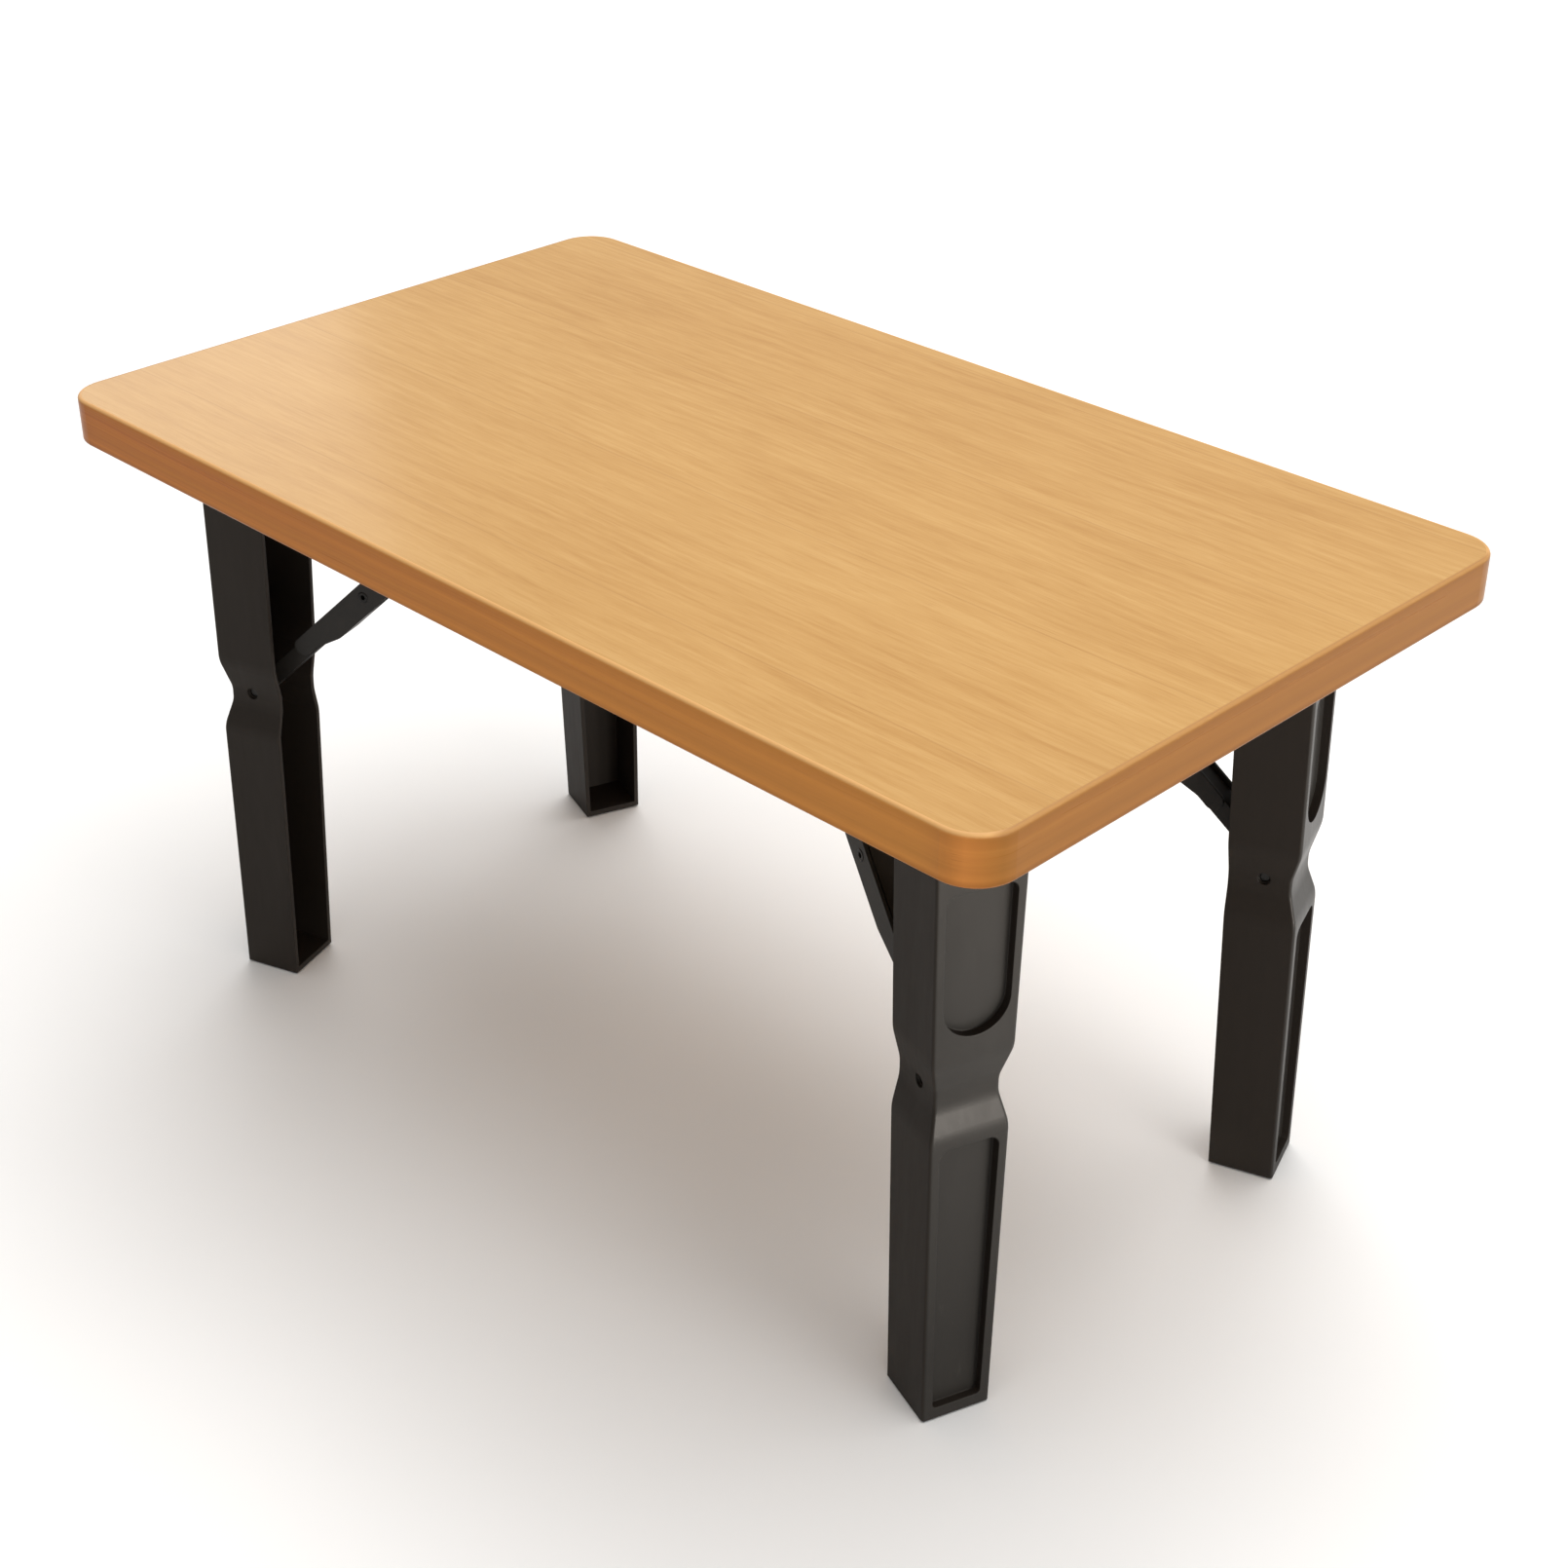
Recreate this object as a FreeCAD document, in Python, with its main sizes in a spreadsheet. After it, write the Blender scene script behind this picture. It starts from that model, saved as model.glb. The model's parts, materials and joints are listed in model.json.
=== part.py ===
import FreeCAD, Part
import math
import os
import Sketcher

# Folding low table: a laminated board on four folding moulded legs.
# Frame: +Z up, origin on the floor under the middle of the board,
# X along the long side.  Millimetres.

os.makedirs("parts", exist_ok=True)
doc = FreeCAD.newDocument("folding_low_table")
V = FreeCAD.Vector

# ---------------------------------------------------------------- dimensions
DIMS = [
    # board
    ("board_length", 600.0), ("board_width", 350.0), ("board_thick", 23.3),
    ("board_corner", 20.0), ("band_thick", 2.0), ("band_round", 1.7),
    ("top_sheet", 0.8), ("back_sheet", 0.6), ("total_height", 335.0),
    # where each leg stands
    ("foot_x", 243.0), ("foot_y", 117.4), ("leg_yaw", 19.5), ("leg_lean", 1.6), ("side_lean", 0.0157),
    ("pivot_drop", 18.2),
    # moulded leg, in its own frame: x towards the table's middle, z up, pivot at 0
    ("web_top", 18.0), ("web_foot", 16.3), ("open_top", 17.5), ("open_foot", 16.2),
    ("leg_crown", 15.7), ("crown_round", 14.7),
    ("half_top", 21.6), ("half_upper", 19.3), ("half_lower", 18.8), ("half_foot", 16.7),
    ("half_waist", 15.4), ("web_waist", 13.2), ("web_mid", 17.5),
    ("waist_up", 104.0), ("waist_in", 120.0), ("waist_out", 128.0), ("waist_down", 142.5),
    ("waist_round", 26.0), ("waist_hollow", 22.0), ("leg_wall", 2.3), ("cavity_web", 11.2), ("cavity_low", 10.3),
    ("floor_plate", 289.0), ("edge_round", 1.5),
    ("panel_face", 13.3), ("panel_half", 15.6), ("panel_half_top", 16.4), ("panel_end", 77.0), ("panel_top", -24.0),
    ("panel_corner", 4.5), ("low_panel_face", 12.4),
    ("low_panel_top", 147.0), ("low_panel_end", 287.3), ("low_panel_half_top", 14.2),
    ("low_panel_half_end", 11.9), ("low_panel_round", 5.0), ("low_panel_foot_round", 2.5),
    ("boss_radius", 7.0), ("boss_face", 11.5),
    # pins and fits
    ("pin_radius", 2.5), ("running_radius", 2.55), ("brace_reach", 121.2),
    ("hinge_pin_half", 17.8), ("waist_pin_half", 13.5), ("waist_sink", 3.2), ("waist_sink_face", 14.1), ("brace_pin_half", 11.2),
    ("spacer_radius", 3.6), ("spacer_in", 5.6), ("spacer_out", 12.9),
    # foot pad
    ("sole_gap", 1.0), ("pad_thick", 2.2), ("pad_x", 24.0), ("pad_y", 22.0),
    # bracket, in the station frame: pivot at 0, x towards the middle
    ("bracket_half", 11.0), ("bracket_inner", 9.3), ("bracket_plate", 1.6),
    ("bracket_back", 10.0), ("bracket_front", 160.0), ("bracket_flange", 14.4),
    ("brace_x", 130.0), ("brace_z", 8.0), ("knee_lift", 3.0),
    ("screw_one", 24.0), ("screw_two", 60.0), ("screw_three", 96.0), ("screw_four", 150.0),
    ("screw_radius", 1.9), ("screw_hole", 1.95), ("screw_head", 4.0), ("screw_head_thick", 1.7),
    ("screw_reach", 30.2),
    # upper link of the brace, origin at the bracket end, x along the link
    ("up_half", 8.0), ("up_inner", 6.4), ("up_edge", 7.8), ("up_eye", 6.2), ("up_end", 148.0),
    ("up_tail", 3.2), ("up_taper", 119.0), ("up_taper_end", 137.0), ("up_web", 6.2),
    ("up_web_end", 124.0), ("up_web_lip", 4.7), ("up_window_in", 61.0), ("up_window_out", 95.5),
    # lower link of the brace, origin at the waist pin, x along the link
    ("low_half", 5.2), ("low_inner", 3.6), ("low_edge", 4.4), ("low_web", 2.8),
    # knee rivets
    ("rivet_radius", 2.1), ("rivet_bore", 1.3), ("rivet_head", 2.9), ("rivet_proud", 0.25),
    ("rivet_inner", 5.6),
]
D = {}
sheet = doc.addObject("Spreadsheet::Sheet", "Dims")


def cell(row, name, value):
    sheet.set("A%d" % row, name)
    sheet.set("B%d" % row, repr(float(value)))
    sheet.setAlias("B%d" % row, name)
    D[name] = float(value)


for row, (name, value) in enumerate(DIMS, 1):
    cell(row, name, value)

# sizes that follow from the ones above
yaw = math.radians(D["leg_yaw"])
lean = math.radians(D["leg_lean"])
pivot_height = D["total_height"] - D["board_thick"] - D["pivot_drop"]
reach = D["brace_reach"]
waist = (-reach * math.sin(lean), -reach * math.cos(lean))
brace_vec = (D["brace_x"] - waist[0], D["brace_z"] - waist[1])
brace_len = math.hypot(*brace_vec)
brace_angle = math.degrees(math.atan2(brace_vec[1], brace_vec[0]))
# the knee divides the straight brace so that both links lie inside the folded leg
near, far = D["brace_x"], D["brace_x"] + brace_len
for _ in range(80):
    knee = (near + far) / 2.0
    low_len = math.hypot(knee - reach, D["knee_lift"])
    up_len = math.hypot(knee - D["brace_x"], D["brace_z"] - D["knee_lift"])
    near, far = (knee, far) if low_len + up_len < brace_len else (near, knee)
up_len = brace_len - low_len
derived = [
    ("pivot_height", pivot_height), ("low_link_length", low_len), ("up_link_length", up_len),
    ("sole_web", (pivot_height - D["sole_gap"] + D["web_foot"] * math.sin(lean)) / math.cos(lean)),
    ("sole_open", (pivot_height - D["sole_gap"] - D["open_foot"] * math.sin(lean)) / math.cos(lean)),
    ("sole_axis", pivot_height / math.cos(lean)),
    ("fold_shift", (pivot_height / math.cos(lean) - D["brace_reach"]) * D["side_lean"]),
]
for row, (name, value) in enumerate(derived, len(DIMS) + 2):
    cell(row, name, value)
doc.recompute()
print("low link %.3f  up link %.3f  brace angle %.3f  pivot height %.2f" % (low_len, up_len, brace_angle, pivot_height))


# ------------------------------------------------------------------- helpers
def q(*terms):
    """A length as its value and its expression, from numbers and (factor, alias) pairs."""
    value, text = 0.0, []
    for term in terms:
        if isinstance(term, tuple):
            value += term[0] * D[term[1]]
            text.append("%r * Dims.%s" % (float(term[0]), term[1]))
        else:
            value += term
            text.append("%r" % float(term))
    return value, " + ".join(text)


def plane(body, role):
    for item in body.Origin.OriginFeatures:
        if item.Role == role:
            return item
    raise ValueError(role)


def pin_point(sketch, geo, pos, px, py):
    for kind, axis, (value, text) in (("DistanceX", -2, px), ("DistanceY", -1, py)):
        if abs(value) < 1e-9:
            sketch.addConstraint(Sketcher.Constraint("PointOnObject", geo, pos, axis))
            continue
        if value > 0:
            index = sketch.addConstraint(Sketcher.Constraint(kind, -1, 1, geo, pos, value))
            sketch.setExpression("Constraints[%d]" % index, text)
        else:
            index = sketch.addConstraint(Sketcher.Constraint(kind, geo, pos, -1, 1, -value))
            sketch.setExpression("Constraints[%d]" % index, "-1 * (%s)" % text)


def sketch_on(body, name, role, loops=(), circles=(), offset=None):
    """A sketch of closed polygons and circles on one of the body's origin planes."""
    sketch = body.newObject("Sketcher::SketchObject", name)
    sketch.AttachmentSupport = [(plane(body, role), "")]
    sketch.MapMode = "FlatFace"
    if offset is not None:
        sketch.AttachmentOffset = FreeCAD.Placement(V(0, 0, offset[0]), FreeCAD.Rotation())
        sketch.setExpression("AttachmentOffset.Base.z", offset[1])
    for loop in loops:
        first = sketch.GeometryCount
        points = [V(p[0][0], p[1][0], 0) for p in loop]
        count = len(points)
        for i in range(count):
            sketch.addGeometry(Part.LineSegment(points[i], points[(i + 1) % count]), False)
        for i in range(count):
            sketch.addConstraint(Sketcher.Constraint("Coincident", first + i, 2, first + (i + 1) % count, 1))
        corners = {}
        for i in range(count):
            if len(loop[i]) > 2:
                # a rounded corner: the arc is added and the corner stays as a construction point
                sketch.fillet(first + i, 1, loop[i][2][0], True, True)
                corners[i] = sketch.GeometryCount - 1
        for i in range(count):
            if i in corners:
                pin_point(sketch, corners[i], 1, loop[i][0], loop[i][1])
                index = sketch.addConstraint(Sketcher.Constraint("Radius", corners[i] - 1, loop[i][2][0]))
                sketch.setExpression("Constraints[%d]" % index, loop[i][2][1])
            else:
                pin_point(sketch, first + i, 1, loop[i][0], loop[i][1])
    for px, py, radius in circles:
        geo = sketch.addGeometry(Part.Circle(V(px[0], py[0], 0), V(0, 0, 1), radius[0]), False)
        pin_point(sketch, geo, 3, px, py)
        index = sketch.addConstraint(Sketcher.Constraint("Radius", geo, radius[0]))
        sketch.setExpression("Constraints[%d]" % index, radius[1])
    return sketch


def pad(body, name, sketch, length, middle=False, back=False):
    feature = body.newObject("PartDesign::Pad", name)
    feature.Profile = sketch
    feature.Length = length[0]
    feature.setExpression("Length", length[1])
    feature.Midplane = middle
    feature.Reversed = back
    doc.recompute()
    return feature


def pocket(body, name, sketch, length=None, middle=False, back=False):
    before = body.Tip.Shape.Volume
    feature = body.newObject("PartDesign::Pocket", name)
    feature.Profile = sketch
    if length is None:
        feature.Type = "ThroughAll"
    else:
        feature.Length = length[0]
        feature.setExpression("Length", length[1])
    feature.Midplane = middle
    feature.Reversed = back
    doc.recompute()
    if not body.Shape.Volume < before - 0.05:
        raise ValueError("%s cuts nothing" % name)
    return feature


def edges_at(shape, test):
    names = []
    for number, edge in enumerate(shape.Edges, 1):
        if test(edge):
            names.append("Edge%d" % number)
    return names


def along(edge, axis):
    if edge.Curve.TypeId != "Part::GeomLine":
        return False
    direction = edge.Vertexes[-1].Point - edge.Vertexes[0].Point
    return abs(abs(direction.normalize().dot(axis)) - 1.0) < 1e-6


def at_point(edge, x=None, y=None, z=None, tol=0.03):
    middle = edge.BoundBox.Center
    for want, have in ((x, middle.x), (y, middle.y), (z, middle.z)):
        if want is not None and abs(want - have) > tol:
            return False
    return True


def corner_fillet(body, name, axis, points, radius):
    """Rounds the edges that run along axis through the given points."""
    base = body.Tip
    names = []
    for point in points:
        found = edges_at(base.Shape, lambda e: along(e, axis) and at_point(e, *point))
        if not found:
            raise ValueError("%s: no edge at %r" % (name, point))
        names += found
    feature = body.newObject("PartDesign::Fillet", name)
    feature.Base = (base, names)
    feature.Radius = radius[0]
    feature.setExpression("Radius", radius[1])
    doc.recompute()
    if feature.Shape.isNull() or not feature.Shape.isValid():
        raise ValueError("%s failed" % name)
    return feature


def drill(body, name, radius, length, place):
    before = body.Tip.Shape.Volume
    tool = body.newObject("PartDesign::SubtractiveCylinder", name)
    tool.Radius = radius[0]
    tool.setExpression("Radius", radius[1])
    tool.Height = length[0]
    tool.setExpression("Height", length[1])
    tool.Placement = place
    doc.recompute()
    if not body.Shape.Volume < before - 0.01:
        raise ValueError("%s cuts nothing" % name)
    return tool


def stud(body, name, radius, length, place):
    tool = body.newObject("PartDesign::AdditiveCylinder", name)
    tool.Radius = radius[0]
    tool.setExpression("Radius", radius[1])
    tool.Height = length[0]
    tool.setExpression("Height", length[1])
    tool.Placement = place
    doc.recompute()
    return tool


def new_body(name, place=None):
    body = doc.addObject("PartDesign::Body", name)
    body.Label = name
    if place is not None:
        body.Placement = place
    return body


ALONG_Y = FreeCAD.Rotation(V(1, 0, 0), -90)
ALONG_X = FreeCAD.Rotation(V(0, 1, 0), 90)
made = []


# ------------------------------------------------------------- where legs go
STATIONS = {}
HAND = {}
for label, sx, sy in (("front_left", -1, -1), ("front_right", 1, -1), ("back_right", 1, 1), ("back_left", -1, 1)):
    # x of the station points inwards, y sideways; each leg leans inwards along both
    ux, uy = -sx * math.cos(yaw), -sy * math.sin(yaw)
    shift = pivot_height * math.tan(lean)
    HAND[label] = sx * sy
    side = HAND[label] * D["fold_shift"]
    origin = V(sx * D["foot_x"] + ux * shift - uy * side, sy * D["foot_y"] + uy * shift + ux * side, pivot_height)
    turn = FreeCAD.Rotation(V(0, 0, 1), math.degrees(math.atan2(uy, ux)))
    STATIONS[label] = FreeCAD.Placement(origin, turn)


def in_plane(x, z, degrees):
    """A placement in the fold plane: origin at x, z and local x turned up by degrees."""
    return FreeCAD.Placement(V(x, 0, z), FreeCAD.Rotation(V(0, -1, 0), degrees))


# --------------------------------------------------------------------- board
half_l, half_w = q((0.5, "board_length")), q((0.5, "board_width"))
under = q((1, "total_height"), (-1, "board_thick"))


def rectangle(inset):
    x, y = q((0.5, "board_length"), *inset), q((0.5, "board_width"), *inset)
    nx = (-x[0], "-1 * (%s)" % x[1])
    ny = (-y[0], "-1 * (%s)" % y[1])
    return [(nx, ny), (x, ny), (x, y), (nx, y)]


def round_corners(body, name, inset):
    x, y = D["board_length"] / 2 - inset, D["board_width"] / 2 - inset
    corner_fillet(body, name, V(0, 0, 1), [(-x, -y, None), (x, -y, None), (x, y, None), (-x, y, None)],
                  q((1, "board_corner"), -inset) if inset == 0 else q((1, "board_corner"), (-1, "band_thick")))


def screw_points():
    points = []
    for label in STATIONS:
        for name in ("screw_one", "screw_two", "screw_three", "screw_four"):
            points.append(STATIONS[label].multVec(V(D[name], 0, 0)))
    return points


def board_sheet(name, low, thick, holes):
    body = new_body(name)
    outline = sketch_on(body, name + "_outline", "XY_Plane", [rectangle([(-1, "band_thick")])], offset=low)
    pad(body, name + "_sheet", outline, thick)
    round_corners(body, name + "_corners", D["band_thick"])
    if holes:
        circles = [((p.x, "%r" % p.x), (p.y, "%r" % p.y), q((1, "screw_hole"))) for p in screw_points()]
        sketch = sketch_on(body, name + "_screw_holes", "XY_Plane", circles=circles,
                           offset=q((1, "total_height"), (-1, "board_thick")))
        reach_up = q((1, "screw_reach"), (-1, "pivot_drop"), 1.0)
        pocket(body, name + "_pilots", sketch, reach_up, back=True)
    made.append(body)
    return body


board_sheet("tabletop_core", q((1, "total_height"), (-1, "board_thick"), (1, "back_sheet")),
            q((1, "board_thick"), (-1, "back_sheet"), (-1, "top_sheet")), True)
board_sheet("top_laminate", q((1, "total_height"), (-1, "top_sheet")), q((1, "top_sheet")), False)
board_sheet("backing_laminate", under, q((1, "back_sheet")), True)

band = new_body("edge_band")
ring = sketch_on(band, "band_outline", "XY_Plane", [rectangle([])], offset=under)
pad(band, "band_block", ring, q((1, "board_thick")))
round_corners(band, "band_corners", 0)
rims = edges_at(band.Tip.Shape, lambda e: abs(e.BoundBox.ZLength) < 1e-6)
rim_fillet = band.newObject("PartDesign::Fillet", "band_rims")
rim_fillet.Base = (band.Tip, rims) if band.Tip.Name != "band_rims" else (doc.getObject("band_corners"), rims)
rim_fillet.Radius = D["band_round"]
rim_fillet.setExpression("Radius", "Dims.band_round")
doc.recompute()
# the board fills the band: a block with the board's own rounded corners is taken out
hollow = doc.addObject("PartDesign::Body", "band_hollow")
hollow_sketch = sketch_on(hollow, "hollow_outline", "XY_Plane", [rectangle([(-1, "band_thick")])],
                          offset=q((1, "total_height"), (-1, "board_thick"), -1.0))
pad(hollow, "hollow_block", hollow_sketch, q((1, "board_thick"), 2.0))
round_corners(hollow, "hollow_corners", D["band_thick"])
ring_cut = band.newObject("PartDesign::Boolean", "band_cut")
ring_cut.Type = "Cut"
ring_cut.setObjects([hollow])
doc.recompute()
made.append(band)


# ----------------------------------------------------------------- leg parts
def leg_body(label, place, hand):
    """hand is +1 or -1: the side towards which the moulding leans."""
    body = new_body(label, place)
    n = label + "_"
    r, h = q((1, "waist_round")), q((1, "waist_hollow"))

    def across(half, z, less=None):
        """Sideways distance of a flank at height z: half width, less a wall, plus the side lean."""
        terms = [half, (hand * (z + reach), "side_lean")]
        if less is not None:
            terms.append(less)
        return q(*terms)

    side = sketch_on(body, n + "side", "XZ_Plane", [[
        (q((-1, "web_top")), q((1, "leg_crown"))),
        (q((1, "open_top")), q((1, "leg_crown")), q((1, "crown_round"))),
        (q((1, "open_foot")), q((-1, "sole_open"))),
        (q((-1, "web_foot")), q((-1, "sole_web"))),
        (q((-1, "web_mid"), 0.15), q((-1, "waist_down")), r),
        (q((-1, "web_waist")), q((-1, "waist_out")), h),
        (q((-1, "web_waist")), q((-1, "waist_in")), h),
        (q((-1, "web_mid")), q((-1, "waist_up")), r),
    ]])
    pad(body, n + "block", side, q((2, "half_top"), 8.0), middle=True)
    for sign in (1, -1):
        flank = [
            (across((sign, "half_top"), 20.0), q(20.0)),
            (across((sign, "half_upper"), -D["waist_up"]), q((-1, "waist_up")), r),
            (across((sign, "half_waist"), -D["waist_in"]), q((-1, "waist_in")), h),
            (across((sign, "half_waist"), -D["waist_out"]), q((-1, "waist_out")), h),
            (across((sign, "half_lower"), -D["waist_down"]), q((-1, "waist_down")), r),
            (across((sign, "half_foot"), -300.0), q(-300.0)),
            (q(sign * 36.0), q(-300.0)),
            (q(sign * 36.0), q(20.0)),
        ]
        sketch = sketch_on(body, n + ("flank_back" if sign > 0 else "flank_front"), "YZ_Plane", [flank])
        pocket(body, n + ("cut_back" if sign > 0 else "cut_front"), sketch, q(80.0), middle=True)
    soften(body, n + "corners", q((1, "edge_round")))
    # the channel inside, open towards the table's middle and at the top

    def channel(*rows):
        right = [(across((1, w), z, (-1, "leg_wall")), q(z)) for w, z in rows]
        left = [(across((-1, w), z, (1, "leg_wall")), q(z)) for w, z in reversed(rows)]
        return right + left

    waist_rows = (("half_waist", -D["waist_in"]), ("half_waist", -D["waist_out"]))
    whole = channel(("half_top", 30.0), ("half_upper", -D["waist_up"]), *waist_rows,
                    ("half_lower", -D["waist_down"]), ("half_foot", -D["floor_plate"]))
    sketch = sketch_on(body, n + "channel", "YZ_Plane", [whole], offset=q(20.0))
    pocket(body, n + "channel_cut", sketch, q((1, "cavity_low"), 20.0))
    deep = channel(("half_top", 30.0), ("half_upper", -D["waist_up"]), *waist_rows, ("half_lower", -D["waist_down"]))
    sketch = sketch_on(body, n + "channel_deep", "YZ_Plane", [deep], offset=q(20.0))
    pocket(body, n + "channel_deep_cut", sketch, q((1, "cavity_web"), 20.0))
    # recessed panels on the outer face
    top, end = D["panel_top"], -D["panel_end"]
    corner = q((1, "panel_corner"))
    sketch = sketch_on(body, n + "upper_panel", "YZ_Plane", [[
        (across((1, "panel_half_top"), top), q(top), corner), (across((-1, "panel_half_top"), top), q(top), corner),
        (across((-1, "panel_half"), end), q(end)), (across((1, "panel_half"), end), q(end))]],
        offset=q(-30.0))
    pocket(body, n + "upper_panel_cut", sketch, q(30.0, (-1, "panel_face")), back=True)
    drill(body, n + "upper_panel_end", q((1, "panel_half")), q(30.0, (-1, "panel_face")),
          FreeCAD.Placement(V(-30, hand * (end + reach) * D["side_lean"], end), ALONG_X))
    top, end = -D["low_panel_top"], -D["low_panel_end"]
    corner, toe = q((1, "low_panel_round")), q((1, "low_panel_foot_round"))
    sketch = sketch_on(body, n + "lower_panel", "YZ_Plane", [[
        (across((1, "low_panel_half_top"), top), q(top), corner), (across((-1, "low_panel_half_top"), top), q(top), corner),
        (across((-1, "low_panel_half_end"), end), q(end), toe), (across((1, "low_panel_half_end"), end), q(end), toe)]],
        offset=q(-30.0))
    pocket(body, n + "lower_panel_cut", sketch, q(30.0, (-1, "low_panel_face")), back=True)
    # hub at the pivot, and the pin holes
    for sign in (1, -1):
        start = D["boss_face"] if sign > 0 else -D["boss_face"] - 6.0
        length = q(6.0)
        if sign == hand:
            start, length = (D["boss_face"] if sign > 0 else -D["boss_face"] - 10.5), q(10.5)
        stud(body, n + ("boss_back" if sign > 0 else "boss_front"), q((1, "boss_radius")), length,
             FreeCAD.Placement(V(0, start, 0), ALONG_Y))
    drill(body, n + "pivot_hole", q((1, "running_radius")), q(60.0), FreeCAD.Placement(V(0, -30, 0), ALONG_Y))
    drill(body, n + "waist_hole", q((1, "pin_radius")), q(60.0), FreeCAD.Placement(V(0, -30, -reach), ALONG_Y))
    for sign in (1, -1):
        start = D["waist_sink_face"] if sign > 0 else -D["waist_sink_face"] - 8.0
        drill(body, n + ("waist_sink_back" if sign > 0 else "waist_sink_front"), q((1, "waist_sink")), q(8.0),
              FreeCAD.Placement(V(0, start, -reach), ALONG_Y))
    # seat of the foot pad, level with the floor
    seat = body.newObject("PartDesign::SubtractiveBox", n + "pad_seat")
    for prop, (value, text) in (("Length", q((1, "pad_x"))), ("Width", q((1, "pad_y"))), ("Height", q((1, "pad_thick")))):
        setattr(seat, prop, value)
        seat.setExpression(prop, text)
    seat.Placement = pad_place(hand)
    doc.recompute()
    return body


def pad_place(hand):
    """The pad's corner in the leg's frame: centred under the leg, its underside on the floor."""
    leg_tilt = FreeCAD.Placement(V(0, 0, 0), FreeCAD.Rotation(V(0, 1, 0), D["leg_lean"]))
    foot_axis = V(-pivot_height * math.tan(lean), -hand * D["fold_shift"], -pivot_height)
    level = FreeCAD.Placement(foot_axis + V(-D["pad_x"] / 2, -D["pad_y"] / 2, 0), FreeCAD.Rotation())
    return leg_tilt.inverse().multiply(level)


def soften(body, name, radius):
    """Rounds the two long outer corners of a leg, from the crown to the sole."""
    base = body.Tip
    names = []
    for number, edge in enumerate(base.Shape.Edges, 1):
        box = edge.BoundBox
        faces = [f for f in base.Shape.ancestorsOfType(edge, Part.Face)]
        if len(faces) != 2 or box.ZLength < 1.0:
            continue
        normals = []
        for face in faces:
            u, v = face.Surface.parameter(edge.valueAt((edge.FirstParameter + edge.LastParameter) / 2))
            normals.append(face.normalAt(u, v))
        outer = [m for m in normals if m.x < -0.9]
        flank = [m for m in normals if abs(m.y) > 0.9]
        if len(outer) == 1 and len(flank) == 1:
            names.append("Edge%d" % number)
    feature = body.newObject("PartDesign::Fillet", name)
    feature.Base = (base, names)
    feature.Radius = radius[0]
    feature.setExpression("Radius", radius[1])
    doc.recompute()
    if feature.Shape.isNull() or not feature.Shape.isValid() or "Invalid" in feature.State or not names:
        raise ValueError("%s failed with %d edges" % (name, len(names)))
    print(name, len(names), "edges rounded")
    return feature


def link_up(label, place):
    body = new_body(label, place)
    n = label + "_"
    outline = [
        (q((-1, "up_eye")), q((-1, "up_eye"))), (q((1, "up_end")), q((-1, "up_eye"))), (q((1, "up_end")), q((1, "up_tail"))),
        (q((1, "up_taper_end")), q((1, "up_tail"))), (q((1, "up_taper")), q((1, "up_edge"))),
        (q(9.0), q((1, "up_edge"))), (q(3.0), q((1, "up_eye"))), (q((-1, "up_eye")), q((1, "up_eye"))),
    ]
    sketch = sketch_on(body, n + "outline", "XZ_Plane", [outline])
    pad(body, n + "block", sketch, q((2, "up_half")), middle=True)
    y = V(0, 1, 0)
    corner_fillet(body, n + "eye", y, [(-D["up_eye"], None, -D["up_eye"]), (-D["up_eye"], None, D["up_eye"])], q((1, "up_eye"), -0.2))
    corner_fillet(body, n + "tail", y, [(D["up_end"], None, -D["up_eye"]), (D["up_end"], None, D["up_tail"])], q(4.5))
    corner_fillet(body, n + "taper", y, [(D["up_taper"], None, D["up_edge"]), (D["up_taper_end"], None, D["up_tail"])], q(7.0))
    inside = [
        (q(-12.0), q(-14.0)), (q((1, "up_end"), 4.0), q(-14.0)), (q((1, "up_end"), 4.0), q(14.0)),
        (q((1, "up_web_end")), q(14.0)), (q((1, "up_web_end")), q((1, "up_web_lip"))),
        (q((1, "up_taper"), -0.6), q((1, "up_web"))), (q(6.0), q((1, "up_web"))), (q(6.0), q(14.0)), (q(-12.0), q(14.0)),
    ]
    sketch = sketch_on(body, n + "inside", "XZ_Plane", [inside])
    pocket(body, n + "channel", sketch, q((2, "up_inner")), middle=True)
    # window in the web behind the knee
    window = [
        (q((1, "up_window_in")), q(4.0), q(1.0)), (q((1, "up_window_out")), q(4.0), q(1.0)),
        (q((1, "up_window_out")), q(14.0)), (q((1, "up_window_in")), q(14.0)),
    ]
    sketch = sketch_on(body, n + "window", "XZ_Plane", [window])
    pocket(body, n + "window_cut", sketch, q((2, "up_inner")), middle=True)
    drill(body, n + "eye_hole", q((1, "running_radius")), q(40.0), FreeCAD.Placement(V(0, -20, 0), ALONG_Y))
    drill(body, n + "knee_hole", q((1, "rivet_radius")), q(40.0), FreeCAD.Placement(V(up_len, -20, 0), ALONG_Y))
    return body


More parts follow.
